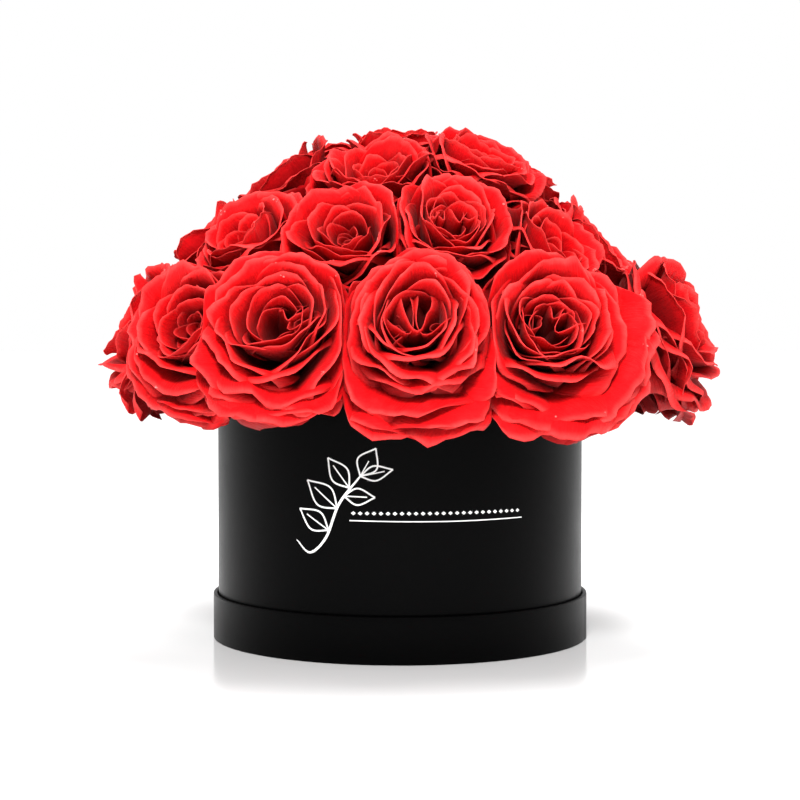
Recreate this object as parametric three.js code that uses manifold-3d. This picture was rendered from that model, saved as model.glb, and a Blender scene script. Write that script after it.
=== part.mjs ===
// A round flower box: a paperboard hat box that stands in its own upturned lid, and a lift-out
// arrangement of red roses in wet floral foam. Millimetres, +Z up, front towards -Y.
// The origin is the centre of the lid's underside, which is the face that the box rests on.
import * as THREE from "three";
import { mergeVertices } from "three/addons/utils/BufferGeometryUtils.js";
import Module from "manifold-3d";

const wasm = await Module();
wasm.setup();

// ---------------------------------------------------------------- driving dimensions

const BOX_RADIUS = 100; // outside of the box's paper wrap
const BOX_HEIGHT = 136; // of the box alone, without the lid under it
const LID_HEIGHT = 24.3; // of the lid's rim
const LID_CLEARANCE = 0.6; // radial, so that the box slides into its lid
const PAPER = 0.3; // wrap and lining paper
const GLUE = 0.1; // glue line between paper and board
const TUBE_BOARD = 2; // board of the box's wall and of both round panels
const HOOP_BOARD = 1.3; // board of the lid's rim
const BOX_TURN_IN = 12; // how far the wrap folds down inside the box's mouth
const LID_TURN_IN = 10; // the same in the lid
const SEAM_WIDTH = 12; // overlap where a wrap's two ends meet
const LID_SEAM_AZIMUTH = 77; // degrees round from the front, towards +X
const BOX_SEAM_AZIMUTH = 180;

const LINER_GAP = 1; // between the liner and the box's lining
const LINER_WALL = 0.8;
const LINER_BELOW_MOUTH = 6; // the liner's edge stays out of sight
const LINER_LIP = 0.6; // its edge is rolled outwards

const FOAM_GAP = 0.4; // between the foam and the liner, and between two blocks
const FOAM_LAYER = 100; // height of the lower pair of blocks
const FOAM_SHOULDER = 12; // the upper blocks stay straight to this far above the box's mouth
const FOAM_DOME = 46; // and are carved to a dome this high above that

const STEM_RADIUS = 2.6;
const STEM_SIDES = 8;
const HOLE_CLEARANCE = 0.4; // round a stem in the foam
const BLOOM_GAP = 0.3; // from a bloom to the plane halfway to its neighbour

const ROUND = 48; // sides of the round box parts
const BLOOM_SIDES = 12;

// The roses stand in four rings. reach is a bloom's distance from the box's axis, height is above
// the lid's underside, lean is how far it looks up from level, radius is its size and stem is the
// length from the bloom's middle to the stem's cut end. Each rose is placed by its azimuth in
// degrees, round from the front towards +X, and may differ from its ring: turn twists it
// sideways, and the others add to the ring's own values.
const RINGS = [
  {
    name: "collar",
    reach: 137,
    height: 168,
    lean: 25,
    radius: 38,
    stem: 80,
    roses: [
      { azimuth: 3.5, lean: -2 },
      { azimuth: 32, turn: -22, radius: 1 },
      { azimuth: 72, reach: 11, lean: -3 },
      { azimuth: 101 },
      { azimuth: 131, height: -2 },
      { azimuth: 160, lean: 2 },
      { azimuth: 190, radius: 1 },
      { azimuth: 220, height: 3 },
      { azimuth: 250, lean: 3 },
      { azimuth: 280, reach: -2, radius: -1 },
      { azimuth: 312, reach: -3, turn: 18, radius: -1 },
      { azimuth: 335.5, reach: 3, turn: 14, lean: 1, radius: -1 },
    ],
  },
  {
    name: "shoulder",
    reach: 98,
    height: 210,
    lean: 42,
    radius: 35,
    stem: 98,
    roses: [
      { azimuth: 15, height: 4 },
      { azimuth: 46, reach: 6, height: -6, lean: -4, radius: 1 },
      { azimuth: 77, reach: 3, height: -6, lean: -6 },
      { azimuth: 110 },
      { azimuth: 143, height: 2 },
      { azimuth: 176 },
      { azimuth: 209, lean: 4 },
      { azimuth: 242, radius: 1 },
      { azimuth: 275 },
      { azimuth: 310, lean: 4 },
      { azimuth: 345, lean: -3 },
    ],
  },
  {
    name: "crown",
    reach: 60,
    height: 247,
    lean: 58,
    radius: 35,
    stem: 92,
    roses: [
      { azimuth: 42 },
      { azimuth: 104, height: -3, lean: 4 },
      { azimuth: 163, lean: 3 },
      { azimuth: 222 },
      { azimuth: 280, height: -6, lean: -4, radius: 1 },
      { azimuth: 349, height: -6 },
    ],
  },
  {
    name: "top",
    reach: 3,
    height: 259,
    lean: 86,
    radius: 34,
    stem: 105,
    roses: [{ azimuth: 200 }],
  },
];

// ---------------------------------------------------------------- derived dimensions

const lidInside = BOX_RADIUS + LID_CLEARANCE;
const hoopInside = lidInside + PAPER + GLUE;
const hoopOutside = hoopInside + HOOP_BOARD;
const lidRadius = hoopOutside + GLUE + PAPER;
const lidPanelFoot = PAPER + GLUE;
const lidFloor = lidPanelFoot + TUBE_BOARD + GLUE + PAPER;

const boxFoot = lidFloor + GLUE;
const boxMouth = boxFoot + BOX_HEIGHT;
const tubeOutside = BOX_RADIUS - PAPER - GLUE;
const tubeInside = tubeOutside - TUBE_BOARD;
const liningOutside = tubeInside - GLUE;
const liningInside = liningOutside - PAPER;
const boxFloor = boxFoot + TUBE_BOARD + GLUE + PAPER;

const linerOutside = liningInside - LINER_GAP;
const linerInside = linerOutside - LINER_WALL;
const linerFoot = boxFloor + FOAM_GAP;
const linerTop = boxMouth - LINER_BELOW_MOUTH;

const foamRadius = linerInside - FOAM_GAP;
const foamFoot = linerFoot + LINER_WALL + FOAM_GAP;
const foamJoint = foamFoot + FOAM_LAYER;
const foamShoulder = boxMouth + FOAM_SHOULDER;

// ---------------------------------------------------------------- geometry helpers

const radians = THREE.MathUtils.degToRad;

// A solid of revolution about Z from [radius, height] pairs that run anticlockwise.
function turned(profile, sides) {
  const points = profile.map(([radius, height]) => new THREE.Vector2(radius, height));
  return new THREE.LatheGeometry(points, sides).rotateX(Math.PI / 2);
}

// A ring between two radii, closed on itself.
function ring(inner, outer, low, high) {
  const profile = [
    [inner, low],
    [outer, low],
    [outer, high],
    [inner, high],
    [inner, low],
  ];
  return turned(profile, ROUND);
}

function disc(radius, low, high) {
  const profile = [
    [0, low],
    [radius, low],
    [radius, high],
    [0, high],
  ];
  return turned(profile, ROUND);
}

function solidOf(geometry) {
  const bare = geometry.clone();
  bare.deleteAttribute("normal");
  bare.deleteAttribute("uv");
  const merged = mergeVertices(bare, 1e-3);
  const mesh = new wasm.Mesh({
    numProp: 3,
    vertProperties: merged.attributes.position.array,
    triVerts: new Uint32Array(merged.index.array),
  });
  return new wasm.Manifold(mesh);
}

function geometryOf(solid) {
  const mesh = solid.getMesh();
  const geometry = new THREE.BufferGeometry();
  geometry.setAttribute("position", new THREE.BufferAttribute(mesh.vertProperties, 3));
  geometry.setIndex(new THREE.BufferAttribute(mesh.triVerts, 1));
  return geometry;
}

function named(name, geometry, material) {
  const mesh = new THREE.Mesh(geometry, material);
  mesh.name = name;
  return mesh;
}

// A unit vector in plan at an azimuth measured round from the front (-Y) towards +X.
function heading(azimuth) {
  return new THREE.Vector3(Math.sin(radians(azimuth)), -Math.cos(radians(azimuth)), 0);
}

// ---------------------------------------------------------------- materials

const blackPaper = new THREE.MeshStandardMaterial({ color: 0x0b0b0b, roughness: 0.45 });
const liningPaper = new THREE.MeshStandardMaterial({ color: 0x151515, roughness: 0.7 });
const greyBoard = new THREE.MeshStandardMaterial({ color: 0x8a8378, roughness: 0.9 });
const linerPlastic = new THREE.MeshStandardMaterial({ color: 0x1a1c1b, roughness: 0.35 });
const floralFoam = new THREE.MeshStandardMaterial({ color: 0x2c5a3a, roughness: 0.95 });
const petal = new THREE.MeshStandardMaterial({ color: 0xd4121c, roughness: 0.6 });

// ---------------------------------------------------------------- box and lid

// A wrap covers a wall's outside, folds over its top edge and runs down a little way inside.
// Its two ends overlap at a seam, which stands one paper thickness proud.
function wrap({ outside, inside, low, high, turnIn, seamAzimuth }) {
  const profile = [
    [outside - PAPER, low],
    [outside, low],
    [outside, high],
    [inside, high],
    [inside, high - turnIn],
    [inside + PAPER, high - turnIn],
    [inside + PAPER, high - PAPER],
    [outside - PAPER, high - PAPER],
    [outside - PAPER, low],
  ];
  return geometryOf(
    solidOf(turned(profile, ROUND)).add(solidOf(seam(outside, low, high, seamAzimuth))),
  );
}

function seam(radius, low, high, azimuth) {
  const steps = 4;
  const sweep = SEAM_WIDTH / radius;
  const start = radians(azimuth - 90);
  const arc = (r) =>
    Array.from({ length: steps + 1 }, (_, i) => {
      const angle = start + (sweep * i) / steps;
      return new THREE.Vector2(r * Math.cos(angle), r * Math.sin(angle));
    });
  const outline = [...arc(radius + PAPER), ...arc(radius - PAPER).reverse()];
  return new THREE.ExtrudeGeometry(new THREE.Shape(outline), {
    depth: high - low,
    bevelEnabled: false,
  }).translate(0, 0, low);
}

function lidParts() {
  const group = new THREE.Group();
  const lidWrap = wrap({
    outside: lidRadius,
    inside: lidInside,
    low: 0,
    high: LID_HEIGHT,
    turnIn: LID_TURN_IN,
    seamAzimuth: LID_SEAM_AZIMUTH,
  });
  const hoop = ring(hoopInside, hoopOutside, lidPanelFoot, LID_HEIGHT - PAPER - GLUE);
  const panel = disc(hoopInside - GLUE, lidPanelFoot, lidPanelFoot + TUBE_BOARD);
  group.add(
    named("lid_face_paper", disc(hoopOutside, 0, PAPER), blackPaper),
    named("lid_panel", panel, greyBoard),
    named("lid_hoop", hoop, greyBoard),
    named("lid_floor_paper", disc(lidInside - GLUE, lidFloor - PAPER, lidFloor), liningPaper),
    named("lid_wrap", lidWrap, blackPaper),
  );
  return group;
}

function boxParts() {
  const group = new THREE.Group();
  const boxWrap = wrap({
    outside: BOX_RADIUS,
    inside: liningInside,
    low: boxFoot,
    high: boxMouth,
    turnIn: BOX_TURN_IN,
    seamAzimuth: BOX_SEAM_AZIMUTH,
  });
  const tube = ring(tubeInside, tubeOutside, boxFoot, boxMouth - PAPER - GLUE);
  const liningTop = boxMouth - BOX_TURN_IN - GLUE;
  const lining = ring(liningInside, liningOutside, boxFloor, liningTop);
  const floor = disc(liningInside - GLUE, boxFloor - PAPER, boxFloor);
  group.add(
    named("box_base_disc", disc(tubeInside - GLUE, boxFoot, boxFoot + TUBE_BOARD), greyBoard),
    named("box_tube", tube, greyBoard),
    named("box_wall_lining", lining, liningPaper),
    named("box_floor_paper", floor, liningPaper),
    named("box_wrap", boxWrap, blackPaper),
  );
  return group;
}

// ---------------------------------------------------------------- liner and foam

// A thin waterproof cup with a rolled edge, which keeps the wet foam off the paperboard.
function linerCup() {
  const profile = [
    [0, linerFoot],
    [linerOutside, linerFoot],
    [linerOutside, linerTop - LINER_LIP],
    [linerOutside + LINER_LIP, linerTop],
    [linerInside, linerTop],
    [linerInside, linerFoot + LINER_WALL],
    [0, linerFoot + LINER_WALL],
  ];
  return named("liner_cup", turned(profile, ROUND), linerPlastic);
}

// The upper foam blocks are carved together to half an ellipse.
function domeProfile() {
  const steps = 7;
  const profile = [
    [0, foamJoint + FOAM_GAP],
    [foamRadius, foamJoint + FOAM_GAP],
  ];
  for (let i = 0; i < steps; i += 1) {
    const angle = (Math.PI / 2) * (i / steps);
    profile.push([foamRadius * Math.cos(angle), foamShoulder + FOAM_DOME * Math.sin(angle)]);
  }
  profile.push([0, foamShoulder + FOAM_DOME]);
  return profile;
}

// Four blocks of floral foam, two below and two above, with a hole for each stem.
function foamBlocks(stemHoles) {
  const layers = {
    lower: solidOf(disc(foamRadius, foamFoot, foamJoint)),
    upper: solidOf(turned(domeProfile(), ROUND)),
  };
  const slab = 2 * foamRadius + 2;
  const group = new THREE.Group();
  for (const [layerName, layer] of Object.entries(layers)) {
    for (const [sideName, side] of [["left", 1], ["right", -1]]) {
      const cutter = new THREE.BoxGeometry(slab, slab, 4 * slab);
      cutter.translate(side * (slab / 2 - FOAM_GAP / 2), 0, 0);
      let block = layer.subtract(solidOf(cutter));
      for (const hole of stemHoles) block = block.subtract(hole);
      group.add(named(`foam_${layerName}_${sideName}`, geometryOf(block), floralFoam));
    }
  }
  return group;
}

// ---------------------------------------------------------------- roses

// Every rose with its ring's values and its own differences worked in.
function plantedRoses() {
  return RINGS.flatMap((ringOf) =>
    ringOf.roses.map((own, i) => {
      const value = (key) => ringOf[key] + (own[key] ?? 0);
      const facing = heading(own.azimuth + (own.turn ?? 0)).multiplyScalar(
        Math.cos(radians(value("lean"))),
      );
      facing.z = Math.sin(radians(value("lean")));
      const centre = heading(own.azimuth).multiplyScalar(value("reach"));
      centre.z = value("height");
      return {
        name: `rose_${ringOf.name}_${String(i + 1).padStart(2, "0")}`,
        centre,
        facing,
        quaternion: new THREE.Quaternion().setFromUnitVectors(
          new THREE.Vector3(0, 0, 1),
          facing,
        ),
        radius: value("radius"),
        stem: ringOf.stem,
      };
    }),
  );
}

// The outer shape of one open bloom about its own axis: a deep cup, widest at its middle, with a
// low crown that dips at the heart. Everything scales with the bloom's radius.
function bloom(radius) {
  const profile = [
    [0, -0.78],
    [0.42, -0.7],
    [0.86, -0.34],
    [1, 0.04],
    [0.88, 0.38],
    [0.5, 0.56],
    [0, 0.5],
  ];
  return turned(
    profile.map(([r, z]) => [r * radius, z * radius]),
    BLOOM_SIDES,
  );
}

// The stem and the hip under the bloom. The stem is cut off square.
function stem({ radius, stem: reach }) {
  const hipTop = -0.66 * radius;
  const profile = [
    [0, -reach],
    [STEM_RADIUS, -reach],
    [STEM_RADIUS, hipTop - 14],
    [2 * STEM_RADIUS, hipTop - 9],
    [2 * STEM_RADIUS, hipTop],
    [0, hipTop],
  ];
  return turned(profile, STEM_SIDES);
}

// Blooms press on each other, so each is cut off flat at the plane between it and a neighbour.
function pressed(solid, rose, neighbours) {
  const toLocal = rose.quaternion.clone().invert();
  let cut = solid;
  for (const other of neighbours) {
    const between = other.centre.clone().sub(rose.centre);
    const distance = between.length();
    if (other === rose || distance > rose.radius + other.radius) continue;
    const share = (distance * rose.radius) / (rose.radius + other.radius) - BLOOM_GAP;
    const away = between.normalize().applyQuaternion(toLocal).negate();
    cut = cut.trimByPlane([away.x, away.y, away.z], -share);
  }
  return cut;
}

function roseMesh(rose, neighbours) {
  const head = pressed(solidOf(bloom(rose.radius)), rose, neighbours);
  const mesh = named(rose.name, geometryOf(head.add(solidOf(stem(rose)))), petal);
  mesh.position.copy(rose.centre);
  mesh.quaternion.copy(rose.quaternion);
  return mesh;
}

// The hole that a rose's stem makes in the foam.
function stemHole(rose) {
  const end = rose.stem + HOLE_CLEARANCE;
  const radius = STEM_RADIUS + HOLE_CLEARANCE;
  const profile = [
    [0, -end],
    [radius, -end],
    [radius, -0.5 * rose.radius],
    [0, -0.5 * rose.radius],
  ];
  const hole = turned(profile, STEM_SIDES).applyQuaternion(rose.quaternion);
  return solidOf(hole.translate(rose.centre.x, rose.centre.y, rose.centre.z));
}

// ---------------------------------------------------------------- assembly

const roses = plantedRoses();
const arrangement = new THREE.Group();
arrangement.add(linerCup(), foamBlocks(roses.map(stemHole)));
for (const rose of roses) arrangement.add(roseMesh(rose, roses));

const flowerBox = new THREE.Group();
flowerBox.add(lidParts(), boxParts(), arrangement);

export default flowerBox;
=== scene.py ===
import math

import bpy
import numpy as np
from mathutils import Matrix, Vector


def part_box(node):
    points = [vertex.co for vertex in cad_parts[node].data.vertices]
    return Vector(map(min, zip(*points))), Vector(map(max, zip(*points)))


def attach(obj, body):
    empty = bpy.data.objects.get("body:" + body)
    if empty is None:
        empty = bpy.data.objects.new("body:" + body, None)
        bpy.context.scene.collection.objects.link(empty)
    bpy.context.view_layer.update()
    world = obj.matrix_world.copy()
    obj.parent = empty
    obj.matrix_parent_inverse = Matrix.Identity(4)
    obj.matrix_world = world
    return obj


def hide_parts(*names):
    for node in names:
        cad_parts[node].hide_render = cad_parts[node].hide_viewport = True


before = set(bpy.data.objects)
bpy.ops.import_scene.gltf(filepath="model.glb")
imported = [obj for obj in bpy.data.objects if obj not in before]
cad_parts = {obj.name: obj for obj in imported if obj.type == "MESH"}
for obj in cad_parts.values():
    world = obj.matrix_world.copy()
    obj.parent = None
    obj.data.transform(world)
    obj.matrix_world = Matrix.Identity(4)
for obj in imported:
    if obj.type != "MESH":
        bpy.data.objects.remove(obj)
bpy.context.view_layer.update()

# ------------------------------------------------------------------ camera
# Stands a metre from the flower box and a little above the middle of its height, and tilts down
# slightly. The blooms hide the mouth of the box and the lid's rim shows as a thin ellipse.
CAMERA_TILT = 1.77  # degrees below level
camera_data = bpy.data.cameras.new("camera")
camera_data.lens = 81.5
camera_data.sensor_width = 36
camera = bpy.data.objects.new("camera", camera_data)
camera.location = (0, -1, 0.16)
camera.rotation_euler = (math.radians(90 - CAMERA_TILT), 0, 0)
bpy.context.scene.collection.objects.link(camera)
bpy.context.scene.camera = camera
bpy.context.scene.view_settings.view_transform = "Standard"

# ------------------------------------------------------------------ paperboard
# The stiff core of the lid and the box is grey recycled board, a flat panel glued into a rolled
# hoop. It is covered all over, and only shows as a cut edge where a wrap ends.


class Wire:
    """An output socket of a material's nodes. Sums on it add Math nodes to that material."""

    def __init__(self, socket):
        self.socket = socket

    def sum(self, operation, first, second):
        node = self.socket.id_data.nodes.new("ShaderNodeMath")
        node.operation = operation
        for pin, value in zip(node.inputs, (first, second)):
            if isinstance(value, Wire):
                self.socket.id_data.links.new(value.socket, pin)
            else:
                pin.default_value = value
        return Wire(node.outputs[0])

    def __add__(self, other):
        return self.sum("ADD", self, other)

    def __radd__(self, other):
        return self.sum("ADD", other, self)

    def __sub__(self, other):
        return self.sum("SUBTRACT", self, other)

    def __rsub__(self, other):
        return self.sum("SUBTRACT", other, self)

    def __mul__(self, other):
        return self.sum("MULTIPLY", self, other)

    def __rmul__(self, other):
        return self.sum("MULTIPLY", other, self)

    def within(self, low, high):
        """0 at low, 1 at high, with a soft start and end."""
        return self.finish.node(
            "ShaderNodeMapRange",
            {"interpolation_type": "SMOOTHSTEP"},
            {"Value": self, "From Min": low, "From Max": high},
        )

    @property
    def finish(self):
        return Finish.of_tree[self.socket.id_data]


class Finish:
    """A material with one Principled shader, and the one method that adds nodes to it."""

    of_tree = {}

    def __init__(self, name, **constants):
        self.material = bpy.data.materials.new(name)
        self.material.use_nodes = True
        self.tree = self.material.node_tree
        Finish.of_tree[self.tree] = self
        self.shader = self.tree.nodes["Principled BSDF"]
        for socket, value in constants.items():
            self.shader.inputs[socket.replace("_", " ")].default_value = value

    def node(self, kind, settings, sockets, output=0):
        """Adds a node, with its settings made first, and gives back one of its outputs."""
        node = self.tree.nodes.new(kind)
        for name, value in settings.items():
            setattr(node, name, value)
        for name, value in sockets.items():
            pin = node.inputs[name]
            if isinstance(value, Wire):
                self.tree.links.new(value.socket, pin)
            else:
                pin.default_value = value
        return Wire(node.outputs[output])

    def mix(self, share, first, second):
        """Two colours mixed. share is 0 for the first and 1 for the second."""
        colours = [c if isinstance(c, Wire) else (*c, 1) for c in (first, second)]
        sockets = {0: share, 6: colours[0], 7: colours[1]}
        return self.node("ShaderNodeMix", {"data_type": "RGBA"}, sockets, 2)

    def part(self, vector, axis):
        """x, y or z of a vector, for an axis of 0, 1 or 2."""
        return self.node("ShaderNodeSeparateXYZ", {}, {"Vector": vector}, axis)

    def place(self, stretch=(1, 1, 1)):
        """The object's own coordinates in metres, stretched."""
        own = self.node("ShaderNodeTexCoord", {}, {}, "Object")
        return self.node("ShaderNodeMapping", {}, {"Vector": own, "Scale": stretch})

    def noise(self, scale, place, detail=3.0, roughness=0.55):
        """Smooth noise from 0 to 1 with this many features to the metre."""
        sockets = {"Vector": place, "Scale": scale, "Detail": detail, "Roughness": roughness}
        return self.node("ShaderNodeTexNoise", {}, sockets)

    def bump(self, height, distance, strength=1.0, under=None):
        sockets = {"Height": height, "Distance": distance, "Strength": strength}
        if under:
            sockets["Normal"] = under
        return self.node("ShaderNodeBump", {}, sockets)

    def wear(self, **outputs):
        """Feeds the shader's sockets, named with _ for a space."""
        for name, wire in outputs.items():
            self.tree.links.new(wire.socket, self.shader.inputs[name.replace("_", " ")])
        return self.material


def board_finish():
    finish = Finish("grey board", Roughness=0.9)
    fibres = finish.noise(2500, finish.place((1, 1, 0.3)))
    flecks = finish.noise(900, finish.place(), detail=6).within(0.62, 0.7)
    colour = finish.mix(fibres, (0.24, 0.22, 0.19), (0.36, 0.33, 0.28))
    colour = finish.mix(flecks * 0.6, colour, (0.12, 0.11, 0.1))
    return finish.wear(Base_Color=colour, Normal=finish.bump(fibres, 0.0002))


grey_board = board_finish()
for name in ("lid_panel", "lid_hoop", "box_base_disc", "box_tube"):
    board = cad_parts[name]
    board.data.materials.clear()
    board.data.materials.append(grey_board)

# ------------------------------------------------------------------ lid papers and wrap
# Satin black coated paper is glued over the lid's rim, folded over its edge and down inside. Its
# two ends overlap in an upright seam on the right. Flat papers cover both faces of the panel.


def add_piece(name, points, faces, material, body, slot, replaces, smooth=True):
    """A mesh piece in the frame's own coordinates, riding on a CAD body."""
    mesh = bpy.data.meshes.new(name)
    mesh.from_pydata(np.asarray(points).tolist(), [], [list(map(int, f)) for f in faces])
    mesh.polygons.foreach_set("use_smooth", [smooth] * len(mesh.polygons))
    mesh.materials.append(material)
    piece = bpy.data.objects.new(name, mesh)
    bpy.context.scene.collection.objects.link(piece)
    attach(piece, body)
    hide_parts(*replaces)
    return piece


def spin(profile, steps, warp=None, middles=()):
    """Points and faces of a profile of (radius, height) spun about the upright axis.

    The profile is closed on itself. With middles it is open instead, and each of its two ends is
    closed by a point on the axis at one of those heights.
    """
    profile = np.array(profile, float)
    turn = np.arange(steps)[:, None] * 2 * math.pi / steps
    radius = np.repeat(profile[None, :, 0], steps, 0)
    height = np.repeat(profile[None, :, 1], steps, 0)
    if warp:
        radius, height = warp(turn, radius, height)
    points = np.stack([radius * np.cos(turn), radius * np.sin(turn), height], -1).reshape(-1, 3)
    count = len(profile)
    i, j = np.meshgrid(np.arange(steps), np.arange(count - bool(middles)), indexing="ij")
    i2, j2 = (i + 1) % steps, (j + 1) % count
    quads = np.stack([i * count + j, i2 * count + j, i2 * count + j2, i * count + j2], -1)
    faces = quads.reshape(-1, 4).tolist()
    if middles:
        points = np.vstack([points, [(0, 0, level) for level in middles]])
        for near in range(steps):
            first, second = near * count, (near + 1) % steps * count
            faces.append((steps * count, second, first))
            faces.append((steps * count + 1, first + count - 1, second + count - 1))
    return points, faces


def merge(points, faces, own_points, own_faces):
    """Adds a part's points and faces to the lists of a bigger mesh."""
    faces += [tuple(len(points) + v for v in f) for f in own_faces]
    points += list(own_points)


def rounded(corners, radius, steps=4):
    """A closed outline with each of its corners rounded."""
    corners = [np.array(c, float) for c in corners]
    outline = []
    for k, corner in enumerate(corners):
        back, on = corners[k - 1] - corner, corners[(k + 1) % len(corners)] - corner
        back_length, on_length = np.linalg.norm(back), np.linalg.norm(on)
        reach = min(radius, back_length * 0.49, on_length * 0.49)
        start, end = corner + back / back_length * reach, corner + on / on_length * reach
        for t in np.linspace(0, 1, steps + 1):
            outline.append((1 - t) ** 2 * start + 2 * t * (1 - t) * corner + t * t * end)
    return outline


def filled(outline, most):
    """Extra points along an outline wherever two are further apart than most."""
    points = []
    for a, b in zip(outline, outline[1:] + outline[:1]):
        parts = max(1, math.ceil(np.linalg.norm(b - a) / most))
        points += [a + (b - a) * k / parts for k in range(parts)]
    return points


def paper_finish(name, dark, light, roughness, grain):
    """Black paper: faint long fibres in the coating, small scuffs, and a soft roller texture."""
    finish = Finish(name, Specular_IOR_Level=0.04)
    place = finish.place((1, 1, 0.35))
    fibres = finish.noise(3800, place, detail=4)
    mottle = finish.noise(45, finish.place(), detail=3)
    scuffs = finish.noise(160, finish.place((1, 1, 0.2)), detail=8, roughness=0.7)
    worn = scuffs.within(0.66, 0.82)
    colour = finish.mix(mottle, dark, light)
    colour = finish.mix(worn * 0.3, colour, (0.008, 0.008, 0.009))
    gloss = roughness + (mottle - 0.5) * 0.1 + worn * 0.08
    normal = finish.bump(fibres, grain)
    return finish.wear(Base_Color=colour, Roughness=gloss, Normal=normal)


black_paper = paper_finish(
    "satin black paper", (0.0003, 0.0003, 0.0003), (0.0007, 0.0007, 0.0008), 0.33, 0.00006
)
lining_paper = paper_finish(
    "black lining paper", (0.012, 0.012, 0.013), (0.02, 0.02, 0.021), 0.62, 0.0001
)
PAPER_OF_SLOT = {"black_paper": black_paper, "lining_paper": lining_paper}

PAPER = 0.0003
SEAM_WIDTH = 0.012
FOLD_RADIUS = 0.00055
OUTLINE_STEP = 0.006


def seam_step(azimuth, radius, fade=0.0007):
    """Raises the outside of a wrap along the overlap at its seam, by most of a paper.

    azimuth is in degrees from the front of the box, towards its right.
    """
    start = math.radians(azimuth - 90)

    def warp(turn, spun_radius, height):
        along = ((turn - start + math.pi) % (2 * math.pi) - math.pi) * radius
        rise = np.clip(along / fade + 0.5, 0, 1) * np.clip((SEAM_WIDTH - along) / 0.004, 0, 1)
        outside = spun_radius > radius - PAPER / 2
        return spun_radius + outside * rise * PAPER * 0.8, height

    return warp


def wrap_outline(outside, inside, low, high, turn_in):
    """The section of a wrap: up the outside, over the edge, and down inside by turn_in."""
    corners = [
        (outside - PAPER, low),
        (outside, low),
        (outside, high),
        (inside, high),
        (inside, high - turn_in),
        (inside + PAPER, high - turn_in),
        (inside + PAPER, high - PAPER),
        (outside - PAPER, high - PAPER),
    ]
    return filled(rounded(corners, FOLD_RADIUS), OUTLINE_STEP)


LID_TURN_IN = 0.010
LID_SEAM_AZIMUTH = 77
LID_INSIDE = 0.1006
LID_FLOOR_RADIUS = 0.1005
WRAP_STEPS = 720
GLUE = 0.0001
lid_low, lid_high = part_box("lid_wrap")
hoop_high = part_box("lid_hoop")[1]
lid_radius = hoop_high.x + PAPER + GLUE
lid_wrap = spin(
    wrap_outline(lid_radius, LID_INSIDE, lid_low.z, lid_high.z, LID_TURN_IN),
    WRAP_STEPS,
    seam_step(LID_SEAM_AZIMUTH, lid_radius),
)
add_piece("lid_wrap_paper", *lid_wrap, black_paper, "lid", "black_paper", ["lid_wrap"])


def paper_disc(name, node, radius, body, slot, bow):
    """A flat round paper. Its upper face bows very slightly, as glued paper does."""
    low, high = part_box(node)
    rings = np.linspace(0.004, radius, 24)

    def bowed(turn, reach, height):
        ripple = np.sin(reach * 60 + 3 * np.sin(2 * turn)) * np.cos(3 * turn + reach * 40)
        upper = height > (low.z + high.z) / 2
        return reach, height + upper * bow * ripple * reach / radius

    outline = [(r, low.z) for r in rings] + [(r, high.z) for r in rings[::-1]]
    disc = spin(outline, 96, bowed, (low.z, high.z))
    add_piece(name, *disc, PAPER_OF_SLOT[slot], body, slot, [node])


paper_disc("lid_underside_paper", "lid_face_paper", hoop_high.x, "lid", "black_paper", 0)
paper_disc("lid_inner_paper", "lid_floor_paper", LID_FLOOR_RADIUS, "lid", "lining_paper", 0.00006)

# ------------------------------------------------------------------ box wrap and linings
# The box's wall is a tube of the same board. Its wrap folds over the mouth and a little way down
# inside, where the edge of the folded paper lies on the lining. The seam is at the back.
BOX_TURN_IN = 0.012
BOX_SEAM_AZIMUTH = 180
BOX_RADIUS = 0.1
BOX_FLOOR_RADIUS = 0.0971
box_low, box_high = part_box("box_wrap")
lining_low, lining_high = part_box("box_wall_lining")
lining_inside = lining_high.x - PAPER
box_wrap = spin(
    wrap_outline(BOX_RADIUS, lining_inside, box_low.z, box_high.z, BOX_TURN_IN),
    WRAP_STEPS,
    seam_step(BOX_SEAM_AZIMUTH, BOX_RADIUS),
)
add_piece("box_wrap_paper", *box_wrap, black_paper, "box", "black_paper", ["box_wrap"])

lining_corners = [
    (lining_inside, lining_low.z),
    (lining_inside + PAPER, lining_low.z),
    (lining_inside + PAPER, lining_high.z),
    (lining_inside, lining_high.z),
]
lining_outline = filled(rounded(lining_corners, PAPER / 3, 2), OUTLINE_STEP)


def lining_ripple(turn, radius, height):
    inner = radius < lining_inside + PAPER / 2
    ripple = 0.00012 * np.sin(turn * 23 + 40 * height) * np.sin(turn * 7 + 90 * height)
    return radius + inner * np.abs(ripple), height


box_lining = spin(lining_outline, 360, lining_ripple)
add_piece("box_lining", *box_lining, lining_paper, "box", "lining_paper", ["box_wall_lining"])
paper_disc("box_floor_lining", "box_floor_paper", BOX_FLOOR_RADIUS, "box", "lining_paper", 0.00008)

# ------------------------------------------------------------------ foil sprig
# A sprig and a row of small lozenges are stamped on the front of the box in white foil, as fine
# raised lines. The design is a plain plant ornament.


def foil_finish():
    finish = Finish("white foil", Roughness=0.35, Specular_IOR_Level=0.5)
    specks = finish.noise(6000, finish.place(), detail=2)
    wear = finish.noise(420, finish.place(), detail=5).within(0.68, 0.8)
    colour = finish.mix(specks, (0.84, 0.84, 0.83), (0.93, 0.93, 0.92))
    colour = finish.mix(wear * 0.5, colour, (0.4, 0.4, 0.4))
    return finish.wear(Base_Color=colour, Normal=finish.bump(specks, 0.00002))


FOIL_HEIGHT = 0.00012
FOIL_FOOT = 0.00002


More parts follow.
